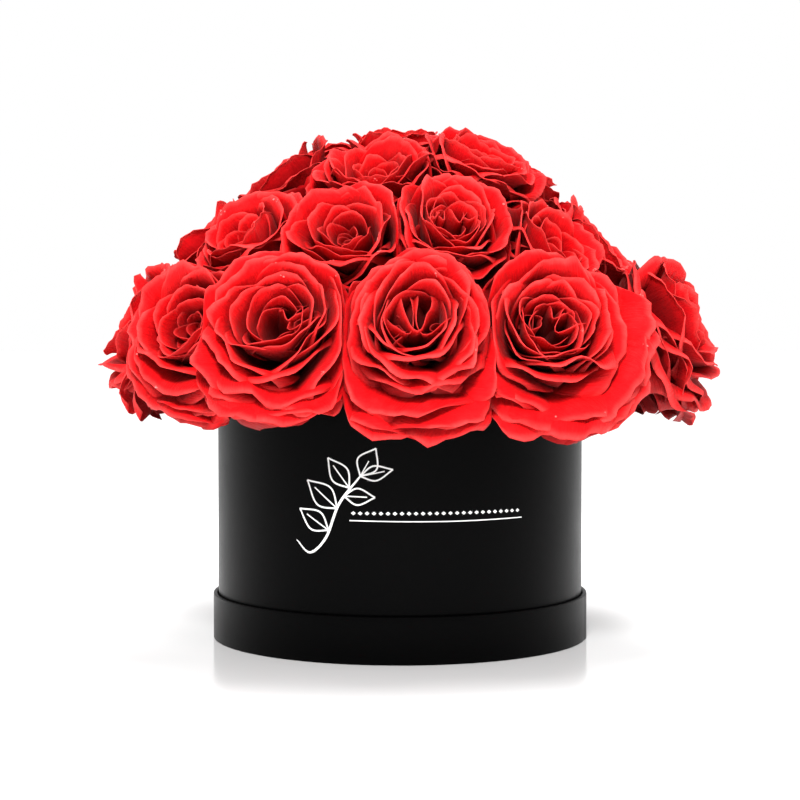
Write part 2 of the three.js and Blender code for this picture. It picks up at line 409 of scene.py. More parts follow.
def foil_line(route, widths):
    """A ribbon along a route of (across, height) points, wrapped on the box's front."""
    route = np.array(route, float)
    widths = np.broadcast_to(np.asarray(widths, float), len(route))
    along = np.gradient(route, axis=0)
    along /= np.linalg.norm(along, axis=1)[:, None]
    aside = np.stack([-along[:, 1], along[:, 0]], 1)
    left, right = route + aside * widths[:, None] / 2, route - aside * widths[:, None] / 2
    points = []
    for l, r in zip(left, right):
        section = ((l, FOIL_FOOT), (r, FOIL_FOOT), (r, FOIL_HEIGHT), (l, FOIL_HEIGHT))
        for (across, up), out in section:
            turn = across / BOX_RADIUS
            reach = BOX_RADIUS + out
            points.append((reach * math.sin(turn), -reach * math.cos(turn), up))
    faces = [(0, 1, 2, 3), tuple(4 * (len(route) - 1) + k for k in (3, 2, 1, 0))]
    for k in range(len(route) - 1):
        a, b = 4 * k, 4 * (k + 1)
        faces += [(a + m, b + m, b + (m + 1) % 4, a + (m + 1) % 4) for m in range(4)]
    return points, faces


def flowing(points, count):
    """A smooth route through a few points."""
    points = np.array(points, float)
    padded = np.vstack([2 * points[0] - points[1], points, 2 * points[-1] - points[-2]])
    route = []
    spans = len(points) - 1
    for t in np.linspace(0, spans, count):
        k = min(int(t), spans - 1)
        u = t - k
        a, b, c, d = padded[k : k + 4]
        bend, twist = 2 * a - 5 * b + 4 * c - d, 3 * b - a - 3 * c + d
        route.append(0.5 * (2 * b + (c - a) * u + bend * u * u + twist * u**3))
    return np.array(route)


STALK = [(-0.055, 0.061), (-0.047, 0.055), (-0.038, 0.063), (-0.031, 0.080), (-0.020, 0.094)]
sprig = []
stalk = flowing(STALK, 60)
taper = np.interp(np.linspace(0, 1, 60), [0, 0.3, 0.8, 1], [0.0004, 0.0012, 0.0013, 0.0008])
sprig.append(foil_line(stalk, taper))


def leaf(base, tip, belly, rib=0.75):
    """Two curved sides and a midrib."""
    base, tip = np.array(base), np.array(tip)
    across = np.array([-(tip - base)[1], (tip - base)[0]])
    for side in (1, -1):
        middle = base + (tip - base) * 0.45 + across * belly * side
        sprig.append(foil_line(flowing([base, middle, tip], 24), 0.0008))
    sprig.append(foil_line(flowing([base, base + (tip - base) * rib], 10), 0.0006))


leaf((-0.0365, 0.0665), (-0.053, 0.077), 0.26)
leaf((-0.0318, 0.0775), (-0.0485, 0.0915), 0.26)
leaf((-0.0285, 0.0840), (-0.0125, 0.0835), -0.26)
leaf((-0.0255, 0.0880), (-0.0370, 0.1030), 0.26)
leaf((-0.0200, 0.0940), (-0.0120, 0.1080), 0.34, 0.55)
leaf((-0.0200, 0.0940), (-0.0035, 0.0975), 0.22)
LOZENGE = 0.0022
LOZENGE_ROW = 0.0755
for middle in np.arange(-0.0235, 0.066, 0.0035):
    ends = [(middle + reach, LOZENGE_ROW) for reach in (-LOZENGE / 2, 0, LOZENGE / 2)]
    sprig.append(foil_line(ends, [0.0002, 0.0019, 0.0002]))
FINE_LINE = [(-0.0255, 0.0718), (0.022, 0.0714), (0.0668, 0.0718)]
sprig.append(foil_line(flowing(FINE_LINE, 40), 0.0005))

points, faces = [], []
for line in sprig:
    merge(points, faces, *line)
add_piece("foil_sprig", points, faces, foil_finish(), "box", "black_paper", [], smooth=False)

# ------------------------------------------------------------------ liner cup
# A vacuum-formed black plastic cup keeps the wet foam off the board. It has a rolled edge, shallow
# rings round its wall that stiffen it, and a slight unevenness from forming.


def liner_finish():
    finish = Finish("black liner plastic", Specular_IOR_Level=0.12)
    place = finish.place()
    grain = finish.noise(1800, place, detail=2)
    smear = finish.noise(60, finish.place((1, 1, 4)), detail=4)
    drops = finish.noise(700, place, detail=2).within(0.66, 0.74)
    colour = finish.mix(smear, (0.0012, 0.0013, 0.0013), (0.0032, 0.0035, 0.0034))
    gloss = 0.2 + smear * 0.15 - drops * 0.08
    normal = finish.bump(grain + drops * 2, 0.00008)
    return finish.wear(Base_Color=colour, Roughness=gloss, Normal=normal)


LINER_LIP = 0.0006  # how far the rolled edge stands out
LINER_WALL = 0.0008
LINER_STEPS = 240
RING_PITCH = 0.0145
RING_DEPTH = 0.0004
FLOOR_RISE = 0.0012  # the middle of the cup's floor is pushed up a little

liner_low, liner_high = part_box("liner_cup")
lip = liner_high.x
wall = lip - LINER_LIP
foot, mouth = liner_low.z, liner_high.z
outer = [
    (0.002, foot + FLOOR_RISE),
    (0.03, foot + FLOOR_RISE / 3),
    (0.06, foot),
    (wall - 0.006, foot),
    (wall - 0.0026, foot + 0.0008),
    (wall - 0.0008, foot + 0.0026),
    (wall, foot + 0.006),
]
for height in np.linspace(foot + 0.01, mouth - 0.006, 88):
    groove = RING_DEPTH * max(0.0, math.cos((height - foot) * 2 * math.pi / RING_PITCH)) ** 6
    outer.append((wall - groove, height))
outer += [
    (wall, mouth - 0.0035),
    (lip - 0.0002, mouth - 0.002),
    (lip, mouth - 0.0008),
    (lip - 0.0003, mouth),
]
inner = [
    (wall - LINER_WALL, mouth - 0.0002),
    (wall - LINER_WALL, mouth - 0.004),
    (wall - LINER_WALL, foot + 0.003),
    (wall - 0.005, foot + LINER_WALL),
    (0.03, foot + LINER_WALL + FLOOR_RISE / 3),
    (0.002, foot + LINER_WALL + FLOOR_RISE),
]


def formed(turn, radius, height):
    uneven = 0.00018 * np.sin(turn * 3 + 20 * height) * np.sin(turn * 5 + 60 * height + 1)
    return radius + uneven * (radius / wall) ** 4, height


liner_middles = (foot + FLOOR_RISE, foot + LINER_WALL + FLOOR_RISE)
liner = spin(outer + inner, LINER_STEPS, formed, liner_middles)
add_piece("liner", *liner, liner_finish(), "arrangement", "liner_plastic", ["liner_cup"])

# ------------------------------------------------------------------ floral foam
# Two soaked blocks of green floral foam stand side by side, with two more on top that are carved
# to a dome with a knife. It is a fine open foam that crumbles at its edges. The foot of the lower
# pair is pared round to sit in the rounded bottom of the cup.


def foam_finish():
    finish = Finish("wet floral foam", Specular_IOR_Level=0.12)
    place = finish.place()
    cells = finish.node("ShaderNodeTexVoronoi", {}, {"Vector": place, "Scale": 1300.0})
    pores = 1 - cells.within(0.1, 0.55)
    soak = finish.noise(70, place, detail=4)
    crumbs = finish.noise(420, place, detail=5)
    colour = finish.mix(soak, (0.010, 0.050, 0.020), (0.030, 0.105, 0.045))
    colour = finish.mix(pores * 0.8, colour, (0.006, 0.03, 0.012))
    normal = finish.bump(crumbs * 0.6 - pores, 0.0005)
    return finish.wear(Base_Color=colour, Roughness=0.75 - soak * 0.35, Normal=normal)


foam = foam_finish()
SHOULDER_RISE = 0.012  # the dome starts this far above the box's mouth
FOOT_PARING = 0.007


def foam_half(name, node, side):
    """Half of a foam layer: its CAD shape with a carved, crumbled surface."""
    low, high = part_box(node)
    rng = np.random.default_rng(40 + side)
    radius = max(abs(low.x), abs(high.x))
    gap = min(abs(low.x), abs(high.x))
    shoulder = box_high.z + SHOULDER_RISE
    domed = high.z > shoulder + 0.001
    steps = 96
    heights = np.linspace(low.z, min(shoulder, high.z), 60)
    if domed:
        profile = [(radius * k / 12, low.z) for k in range(1, 12)] + [(radius, h) for h in heights]
        rise = high.z - shoulder
        lift = np.linspace(0, math.pi / 2, 28)[1:-1]
        profile += [(radius * math.cos(a), shoulder + rise * math.sin(a)) for a in lift]
    else:
        pared = FOOT_PARING * np.clip(1 - (heights - low.z) / FOOT_PARING, 0, 1) ** 2
        profile = [((radius - FOOT_PARING) * k / 12, low.z) for k in range(1, 12)]
        profile += list(zip(radius - pared, heights))
        profile += [(radius * k / 12, high.z) for k in range(11, 0, -1)]
    profile = np.array(profile)
    turn = np.linspace(0, math.pi, steps) - math.pi / 2
    phases = rng.uniform(0, 6.28, (8, 3))
    waves = rng.uniform(40, 420, (8, 3))
    points = []
    for a in turn:
        reach, height = profile[:, 0], profile[:, 1]
        x, y = reach * math.cos(a) * side, reach * math.sin(a)
        x = np.where(np.abs(x) < gap, gap * side, x)
        rough = sum(
            np.sin(w[0] * x + p[0]) * np.sin(w[1] * y + p[1]) * np.sin(w[2] * height + p[2])
            for w, p in zip(waves, phases)
        )
        shrink = 1 - np.abs(rough) * 0.0028
        carved = height - (height > shoulder - 0.001) * np.abs(rough) * 0.0006
        points += list(zip(np.where(np.abs(x) <= gap, gap * side, x * shrink), y * shrink, carved))
    count = len(profile)
    points.append((gap * side, 0, low.z))
    points.append((gap * side, 0, high.z))
    bottom, top = len(points) - 2, len(points) - 1
    faces = []
    for i in range(steps - 1):
        a, b = i * count, (i + 1) * count
        faces += [(a + j, b + j, b + j + 1, a + j + 1) for j in range(count - 1)]
        faces += [(bottom, b, a), (top, a + count - 1, b + count - 1)]
    first, last = list(range(count)), list(range((steps - 1) * count, steps * count))
    faces += [(last[j], first[j], first[j + 1], last[j + 1]) for j in range(count - 1)]
    faces += [(last[0], bottom, first[0]), (first[-1], top, last[-1])]
    if side < 0:
        faces = [f[::-1] for f in faces]
    add_piece(name, points, faces, foam, "arrangement", "floral_foam", [node])


for layer in ("lower", "upper"):
    foam_half(f"foam_block_{layer}_left", f"foam_{layer}_left", -1)
    foam_half(f"foam_block_{layer}_right", f"foam_{layer}_right", 1)

# ------------------------------------------------------------------ where the roses stand
# Each rose's stem tells where its bloom is and which way it looks. The stem's cut end and the
# foot of its hip are rings about the stem's own axis.
STEM_REACH = {"collar": 0.080, "shoulder": 0.098, "crown": 0.092, "top": 0.105}
CUP_RADIUS = {"collar": 0.038, "shoulder": 0.035, "crown": 0.035, "top": 0.034}
STEM_RADIUS = 0.0026


class Rose:
    """A rose's place and its own axes, worked out from its solid."""

    def __init__(self, name):
        self.name = name
        self.ring = name.split("_")[1]
        self.radius = CUP_RADIUS[self.ring]
        points = np.array([v.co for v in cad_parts[name].data.vertices])
        points = np.unique(points.round(6), axis=0)
        head = points.mean(0)
        far = points[np.argmax(np.linalg.norm(points - head, axis=1))]
        at_end = np.linalg.norm(points - far, axis=1) < 2.3 * STEM_RADIUS
        foot, rest = points[at_end].mean(0), points[~at_end]
        gap = np.linalg.norm(rest - foot, axis=1)
        hip_foot = rest[gap < gap.min() + 0.0003].mean(0)
        facing = (hip_foot - foot) / np.linalg.norm(hip_foot - foot)
        self.centre = foot + facing * STEM_REACH[self.ring]
        across = np.cross((0, 0, 1), facing)
        if np.linalg.norm(across) < 0.2:
            across = np.array([1.0, 0, 0])
        across = across / np.linalg.norm(across)
        self.axes = np.stack([across, np.cross(facing, across), facing])

    def out(self, points):
        """Points about the bloom's own axis, put in place."""
        return points @ self.axes + self.centre

    def home(self, points):
        """Points in place, put about the bloom's own axis."""
        return (points - self.centre) @ self.axes.T


roses = [Rose(name) for name in sorted(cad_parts) if name.startswith("rose_")]

# ------------------------------------------------------------------ blooms
# An open bloom has some thirty to forty velvety petals that grow in a spiral from the heart
# outwards. The inner ones are folded tight and upright, the outer ones are broad, roll back and
# hang down.


def petal_finish():
    finish = Finish(
        "red petal",
        Sheen_Weight=0.07,
        Sheen_Roughness=0.45,
        Sheen_Tint=(1.0, 0.32, 0.3, 1),
        Specular_IOR_Level=0.15,
    )
    spot = finish.node("ShaderNodeAttribute", {"attribute_name": "petal_place"}, {}, "Vector")
    kind = finish.node("ShaderNodeAttribute", {"attribute_name": "petal_kind"}, {}, "Vector")
    across, along, back = (finish.part(spot, axis) for axis in range(3))
    stage, own, shade = (finish.part(kind, axis) for axis in range(3))
    run = {"X": across * 14, "Y": along * 1.6, "Z": own * 9}
    veins_at = finish.node("ShaderNodeCombineXYZ", {}, run)
    veins = finish.noise(2.2, veins_at, detail=5, roughness=0.6)
    place = finish.place()
    blotch_and_highlight = finish.noise(95, place, detail=3)
    grain = finish.noise(2600, place, detail=2)
    crinkle_and_shade = finish.noise(240, place, detail=4)
    # rim is the band along a petal's edge that carries a painted highlight.
    rim = along.within(0.92, 0.995)
    # Painted shade: each petal darkens towards its foot, and the inner petals, which lie deeper in
    # the bloom, darken further up.
    risen = along + stage * 0.22
    painted_foot_shade = finish.mix(risen.within(0.30, 0.92), (0.17, 0.0010, 0.0018), (0.70, 0.0018, 0.0040))
    colour = finish.mix(risen.within(0.66, 1.06) * 0.75, painted_foot_shade, (0.95, 0.0065, 0.0100))
    colour = finish.mix(veins.within(0.35, 0.72) * 0.42, colour, (0.40, 0.0016, 0.0036))
    # Lighter patches: partly random tone of the petal, partly painted highlight.
    colour = finish.mix(blotch_and_highlight.within(0.45, 0.75) * 0.30, colour, (0.98, 0.024, 0.026))
    # Painted shade: the noise that crinkles the petal also darkens its colour in patches.
    colour = finish.mix(crinkle_and_shade.within(0.50, 0.72) * 0.30, colour, (0.45, 0.0022, 0.0048))
    colour = finish.mix(back * 0.45, colour, (0.38, 0.0025, 0.0055))
    # Painted highlight: the rims are lighter, most in the lighter patches.
    colour = finish.mix(rim * (0.02 + blotch_and_highlight * 0.50), colour, (1.0, 0.13, 0.12))
    # Painted shade: the stored shade darkens the petals that lie deeper in their bloom and in the
    # dome.
    colour = finish.mix(shade, colour, (0.035, 0.0007, 0.0012))
    gloss = 0.52 + grain * 0.12 + back * 0.08
    normal = finish.bump(grain, 0.00005, 0.7)
    normal = finish.bump(crinkle_and_shade, 0.0009, 0.7, under=normal)
    normal = finish.bump(veins, 0.0008, 0.9, under=normal)
    return finish.wear(Base_Color=colour, Roughness=gloss, Normal=normal)


red_petal = petal_finish()

# Along a bloom from the heart (0) to the guard petals (1), as shares of the bloom's radius.
STAGE = [0, 0.12, 0.25, 0.40, 0.55, 0.70, 0.82, 0.91, 1]
RIM_OUT = [0.06, 0.15, 0.26, 0.42, 0.60, 0.80, 1.00, 1.18, 1.34]
RIM_UP = [0.02, 0.14, 0.30, 0.46, 0.54, 0.48, 0.28, 0.00, -0.28]
FLAT_RIM_UP = [0.02, 0.14, 0.30, 0.43, 0.51, 0.53, 0.50, 0.42, 0.26]
RIM_LEAN = [-4, -2, 2, 8, 18, 36, 62, 90, 112]
FOOT_LEAN = [8, 14, 26, 38, 50, 62, 74, 82, 86]
HALF_WIDTH = [0.27, 0.38, 0.52, 0.66, 0.78, 0.90, 1.00, 1.06, 1.08]
TIGHTNESS = [1.0, 1.0, 0.98, 0.95, 0.88, 0.74, 0.52, 0.30, 0.10]
LIP_LENGTH = [0.02, 0.03, 0.04, 0.06, 0.09, 0.13, 0.17, 0.20, 0.20]
LIP_CURL = [6, 10, 20, 34, 52, 74, 88, 80, 60]
SIDE_ROLL = [0.0, 0.1, 0.3, 0.5, 0.8, 1.1, 1.3, 1.1, 0.8]
WAVE = [0.008, 0.014, 0.024, 0.036, 0.050, 0.062, 0.075, 0.088, 0.100]
SLANT = [0.0, 0.02, 0.05, 0.08, 0.11, 0.13, 0.13, 0.11, 0.08]
# How broad a petal is, from its foot (0) to its rim (1), as a share of its greatest width.
BROAD_AT = [0, 0.12, 0.3, 0.5, 0.7, 0.86, 1]
BROAD = [0.22, 0.38, 0.68, 0.9, 1, 0.97, 0.84]
# Heights along a bloom's axis, as shares of its radius.
HIP_TOP, SEPAL_FOOT, PETAL_FOOT = -0.60, -0.62, -0.66
GOLDEN_ANGLE = 137.5
PETAL_ROWS, PETAL_COLUMNS = 19, 23
PETAL_THICKNESS, RIM_THINNER, SIDE_THINNER = 0.00046, 0.0002, 0.00014
CUP_FILL = 0.97
# Painted shade: petals are darker the deeper they lie, in their own bloom and in the whole dome.
OWN_SHADE, OWN_CELL, OWN_DEPTH = 0.72, 0.0024, 0.0050
DOME_SHADE, DOME_CELL, DOME_DEPTH = 0.5, math.radians(2.0), 0.036


def petal_sheets(
    radius, rng, petals, heart, step, open_share, flat, skirt, skirt_way, fold, hole, guards, flames
):
    """The middle surfaces of a bloom's petals, about its own axis, and what the finish needs.

    The spiral of petals begins at the stage heart. Between the stage step and the guard petals
    there are none, which leaves a shaded step. flat lifts the outer petals from a rolled
    back bloom (0) to a funnel with a level face (1). skirt lengthens the outer petals on the side
    skirt_way. guards are the directions of extra broad outer petals. flames are petals folded
    like a hairpin: direction, half width, height, origin.
    """
    rows, columns = PETAL_ROWS, PETAL_COLUMNS
    stage = np.cumsum(rng.uniform(0.25, 1.75, petals))
    stage = heart + (1 - heart) * (stage - stage[0]) / (stage[-1] - stage[0])
    stage = np.where((stage > step) & (stage < 0.95), step - 0.06 * rng.random(petals), stage)
    guard_stage = 0.92 + 0.08 * rng.random(len(guards))
    stage = np.concatenate([stage, guard_stage, np.full(len(flames), 0.3)])
    count = len(stage)
    flame = slice(count - len(flames), count)
    at = lambda values: np.interp(stage, STAGE, values)
    jitter = lambda size: rng.uniform(-size, size, count)
    turn = np.cumsum(np.full(count, math.radians(GOLDEN_ANGLE)) + jitter(0.22))
    turn[petals : petals + len(guards)] = np.radians(guards)
    below = np.clip(np.cos(turn - math.radians(skirt_way)), 0, 1)
    below = below * np.clip((stage - 0.86) / 0.14, 0, 1)
    hollow = hole * np.clip(1 - stage / 0.5, 0, 1)
    rim_out = (at(RIM_OUT) * (1 - hollow) + hollow) * radius
    rim_out = rim_out * (open_share + (1 - open_share) * stage) * (1 + jitter(0.03))
    rim_out = rim_out * (1 - 0.10 * flat * stage)
    rim_out = rim_out * (1 + skirt * below)
    rim_up = (at(RIM_UP) * (1 - flat) + at(FLAT_RIM_UP) * flat + jitter(0.06)) * radius
    rim_up = rim_up - below * 0.10 * radius
    rim_lean = np.radians(at(RIM_LEAN) * (1 - 0.45 * flat) + jitter(8))
    foot_lean = np.radians(at(FOOT_LEAN) * (1 - 0.25 * flat * stage))
    half_width = at(HALF_WIDTH) * radius * (1 + jitter(0.10)) * (1 + 0.12 * below)
    tight = at(TIGHTNESS) * (1 + jitter(0.1))
    lip = at(LIP_LENGTH) * radius * (1 + jitter(0.25))
    curl = np.radians(at(LIP_CURL)) * (1 + jitter(0.35))
    roll = at(SIDE_ROLL) * (1 + jitter(0.4))
    wave = at(WAVE) * radius * (1 + jitter(0.4))
    slant = at(SLANT) * radius * rng.choice([-1, 1, 1], count) * (1 + jitter(0.6))
    crease = fold * rng.uniform(-0.35, 1, count) * np.clip(1 - stage / 0.55, 0, 1)
    point = rng.random(count) ** 2
    fall = 0.34 + 0.20 * point
    origin = np.zeros((count, 2))
    if flames:
        ways, wide, tall, aside, below_heart = np.array(flames, float).T
        turn[flame] = np.radians(ways)
        half_width[flame] = wide * radius
        rim_up[flame] = tall * radius
        rim_out[flame] = 0.10 * radius
        rim_lean[flame], foot_lean[flame] = -0.35, 0.05
        crease[flame] = -rng.uniform(0.95, 1.3, len(flames))
        tight[flame], roll[flame], slant[flame], fall[flame] = 0, 0.9, 0, 0.24
        point[flame], wave[flame], lip[flame] = 0, 0.05 * radius, 0.09 * radius
        origin[flame] = np.stack([aside, below_heart], 1) * radius
    along = 1 - (1 - np.linspace(0, 1, rows)) ** 1.45
    across = np.linspace(-1, 1, columns)
    across = np.sign(across) * (1 - (1 - np.abs(across)) ** 1.25)
    sheets = np.zeros((count, rows, columns, 3))
    for k in range(count):
        start = np.array([0.05 + 0.07 * stage[k], PETAL_FOOT]) * radius
        end = np.array([rim_out[k], rim_up[k]])
        chord = np.linalg.norm(end - start)
        pull = start + 0.38 * chord * np.array([math.sin(foot_lean[k]), math.cos(foot_lean[k])])
        push = end - 0.42 * chord * np.array([math.sin(rim_lean[k]), math.cos(rim_lean[k])])
        t = np.linspace(0, 1, 40)[:, None]
        spine = (1 - t) ** 3 * start + 3 * (1 - t) ** 2 * t * pull
        spine = spine + 3 * (1 - t) * t**2 * push + t**3 * end
        hop = np.diff(spine, axis=0)
        gone = np.concatenate([[0], np.cumsum(np.linalg.norm(hop, axis=1))])
        lean = np.unwrap(np.arctan2(hop[:, 0], hop[:, 1]))
        lean = np.concatenate([lean[:1], (lean[1:] + lean[:-1]) / 2, lean[-1:]])
        phase = rng.uniform(0, 6.28, 8)
        ragged = 0.014 * np.sin(9 * across + phase[0]) + 0.010 * np.sin(19 * across + phase[1])
        tip = 1 - fall[k] * np.abs(across) ** (2.7 - 1.1 * point[k])
        notch = np.exp(-(((across - 0.35 * math.sin(phase[6])) / 0.14) ** 2))
        tip = tip - 0.075 * notch * stage[k] * (phase[2] > 3.9)
        tip = tip + ragged * (0.4 + stage[k])
        reach = along[:, None] * tip[None, :] * gone[-1]
        left = (tip[None, :] * gone[-1] - reach) / lip[k]
        base_lean = np.interp(reach, gone, lean)
        uneven = 0.75 + 0.35 * np.sin(4 * across + phase[3])
        lipped = base_lean + curl[k] * np.clip(1 - left, 0, 1) ** 1.6 * uneven
        stride = np.diff(reach, axis=0, prepend=0)
        middle = lipped.copy()
        middle[1:] = (lipped[1:] + lipped[:-1]) / 2
        out = start[0] + np.cumsum(np.sin(middle) * stride, axis=0)
        up = start[1] + np.cumsum(np.cos(middle) * stride, axis=0)
        broad = np.interp(along, BROAD_AT, BROAD)
        width = half_width[k] * broad[:, None]
        axis_gap = np.maximum(np.interp(reach, gone, spine[:, 0]), 0.10 * radius)
        bend = np.cos(np.minimum(base_lean, math.pi / 2)) * tight[k] / axis_gap
        bend = bend * width - 0.35 * np.clip(base_lean - math.pi / 2, 0, 1)
        edge = np.clip((np.abs(across) - 0.70) / 0.30, 0, 1) ** 2
        heading = bend * across[None, :] + crease[k] * np.tanh(across * 7)[None, :] * along[:, None]
        heading = heading - roll[k] * (np.sign(across) * edge)[None, :] * along[:, None] ** 2
        slot_step = np.diff(across)
        half = columns // 2
        mean_heading = (heading[:, 1:] + heading[:, :-1]) / 2
        side, into = np.zeros((rows, columns)), np.zeros((rows, columns))
        side[:, 1:] = np.cumsum(np.cos(mean_heading) * slot_step, 1)
        into[:, 1:] = np.cumsum(np.sin(mean_heading) * slot_step, 1)
        side = (side - side[:, half : half + 1]) * width
        into = (into - into[:, half : half + 1]) * width
        flow = (
            np.sin(2.6 * across[None, :] + 2 * along[:, None] + phase[4])
            + 0.6 * np.sin(5.2 * across[None, :] - 3 * along[:, None] + phase[5])
            + 0.35 * np.sin(9.5 * across[None, :] + 4 * along[:, None] + phase[6])
        )
        into = into + wave[k] * along[:, None] ** 2 * flow
        into = into + slant[k] * along[:, None] * across[None, :]
        radial = out - into * np.cos(base_lean)
        height = up + into * np.sin(base_lean)
        swing = turn[k] + 0.16 * along[:, None] * math.sin(phase[7]) + 0.10 * along[:, None]
        sheets[k, ..., 0] = origin[k, 0] + radial * np.cos(swing) - side * np.sin(swing)
        sheets[k, ..., 1] = origin[k, 1] + radial * np.sin(swing) + side * np.cos(swing)
        sheets[k, ..., 2] = height
    return sheets, stage, along, across


def heart_shift(sheets, radius, rng):
    """Leans the heart aside and stirs the petals together, so that they stay nested."""
    x, y, z = (sheets[..., i] / radius for i in range(3))
    reach = np.hypot(x, y)
    lean_way = rng.uniform(0, 6.28)
    near = np.exp(-((reach / 0.55) ** 2)) * np.clip(z + 0.5, 0, 1.2)
    moved = sheets.copy()
    moved[..., 0] += radius * 0.07 * math.cos(lean_way) * near
    moved[..., 1] += radius * 0.07 * math.sin(lean_way) * near
    for _ in range(5):
        way = rng.normal(0, 1, 3)
        way /= np.linalg.norm(way)
        pull = rng.normal(0, 1, 3)
        pull /= np.linalg.norm(pull)
        phase, pace = rng.uniform(0, 6.28), rng.uniform(2.0, 4.5)
        swell = np.sin(pace * (x * way[0] + y * way[1] + z * way[2]) + phase)
        moved += radius * 0.022 * swell[..., None] * pull * np.clip(z + 0.7, 0, 1)[..., None]
    return moved


def pressed(points, rose, soft=0.010, overlap=0.0025):
    """Keeps a bloom on its own side of the planes between it and its neighbours."""
    for other in roses:
        between = other.centre - rose.centre
        distance = np.linalg.norm(between)
        if other is rose or distance > 2.4 * max(rose.radius, other.radius):
            continue
        away = between / distance
        limit = distance * rose.radius / (rose.radius + other.radius) + overlap
        depth = (points - rose.centre) @ away - limit
        kept = np.where(depth > -soft, -soft * np.exp(-(depth + soft) / soft), depth)
        points = points + (kept - depth)[..., None] * away
    return points


WALL_CLEARANCE = 0.0022


def clear_of_box(points):
    """Pushes hanging petals out past the box's wall wherever they are lower than its mouth."""
    reach = np.hypot(points[..., 0], points[..., 1])
    low = np.clip((box_high.z + 0.004 - points[..., 2]) / 0.006, 0, 1)
    short = np.clip(BOX_RADIUS + WALL_CLEARANCE - reach, 0, None) * low
    scale = 1 + short / np.maximum(reach, 1e-6)
    moved = points.copy()
    moved[..., 0] *= scale
    moved[..., 1] *= scale
    return moved


def thickened(sheets, thickness):
    """Closed petals from their middle surfaces. thickness varies over rows and columns."""
    count, rows, columns, _ = sheets.shape
    du, dv = np.gradient(sheets, axis=2), np.gradient(sheets, axis=1)
    normal = np.cross(du, dv)
    normal /= np.maximum(np.linalg.norm(normal, axis=-1, keepdims=True), 1e-12)
    outer = sheets + normal * thickness[..., None] / 2
    inner = sheets - normal * thickness[..., None] / 2
    points = np.stack([outer, inner], 1).reshape(-1, 3)
    grid = np.arange(rows * columns).reshape(rows, columns)
    a, b, c, d = grid[:-1, :-1], grid[:-1, 1:], grid[1:, 1:], grid[1:, :-1]
    front = np.stack([a, b, c, d], -1).reshape(-1, 4)
    back = front[:, ::-1] + rows * columns
    loop = np.concatenate([grid[0, :], grid[1:, -1], grid[-1, -2::-1], grid[-2:0:-1, 0]])
    after = np.roll(loop, -1)
    rim = np.stack([loop, loop + rows * columns, after + rows * columns, after], -1)
    own = np.concatenate([front, back, rim])
    faces = own[None] + (np.arange(count) * 2 * rows * columns)[:, None, None]
    return points, faces.reshape(-1, 4)


def buried(points, centre, cell, soft):
    """How deep each point lies, from 0 to 1, below the outermost points in its direction."""
    away = points - centre
    reach = np.linalg.norm(away, axis=-1)
    up = np.arcsin(np.clip(away[..., 2] / np.maximum(reach, 1e-9), -1, 1))
    round_about = np.arctan2(away[..., 1], away[..., 0])
    rows, columns = int(math.pi / cell) + 1, int(2 * math.pi / cell) + 1
    row = np.clip(((up + math.pi / 2) / cell).astype(int), 0, rows - 1)
    column = np.clip(((round_about + math.pi) / cell).astype(int), 0, columns - 1)
    cover = np.zeros((rows, columns))
    np.maximum.at(cover, (row.ravel(), column.ravel()), reach.ravel())
    steps = [(a, b) for a in (-1, 0, 1) for b in (-1, 0, 1)]
    near = [np.roll(cover, step, (0, 1)) for step in steps]
    cover = np.maximum(cover, np.median(near, 0))
    wide = np.mean([np.roll(cover, step, (0, 1)) for step in steps], 0)
    return 1 - np.exp(-np.clip(wide[row, column] - reach, 0, None) / soft)


def sunk(points, cell, soft):
    """How deep each point lies, from 0 to 1, below the rims round it in its own bloom."""
    spot = np.floor(points[..., :2] / cell).astype(int)
    low = spot.reshape(-1, 2).min(0)
    spot = spot - low
    size = spot.reshape(-1, 2).max(0) + 1
    cover = np.full(size, -1.0)
    np.maximum.at(cover, (spot[..., 0].ravel(), spot[..., 1].ravel()), points[..., 2].ravel())
    steps = [(a, b) for a in (-2, -1, 0, 1, 2) for b in (-2, -1, 0, 1, 2) if a * a + b * b < 6]
    padded = np.pad(cover, 2, constant_values=-1.0)
    rims = [padded[2 + a : 2 + a + size[0], 2 + b : 2 + b + size[1]] for a, b in steps]
    row, column, height = spot[..., 0], spot[..., 1], points[..., 2]
    depths = [np.clip(rim[row, column] - height, 0, 3 * soft) for rim in rims]
    return 1 - np.exp(-np.mean(depths, 0) / soft)


# Where guard petals stand, in degrees: 0 is to the right of one who faces the bloom, 90 is up.
LOWER_GUARDS = [-152, -122, -92, -62, -30]
RIGHT_SIDE_GUARDS = [140, 170, -165, -140, -112, -80, -45]
LEFT_SIDE_GUARDS = [40, 10, -15, -42, -70, -100, -135]
SIDE_GUARDS = [-70, 10, 95, 175, 250]
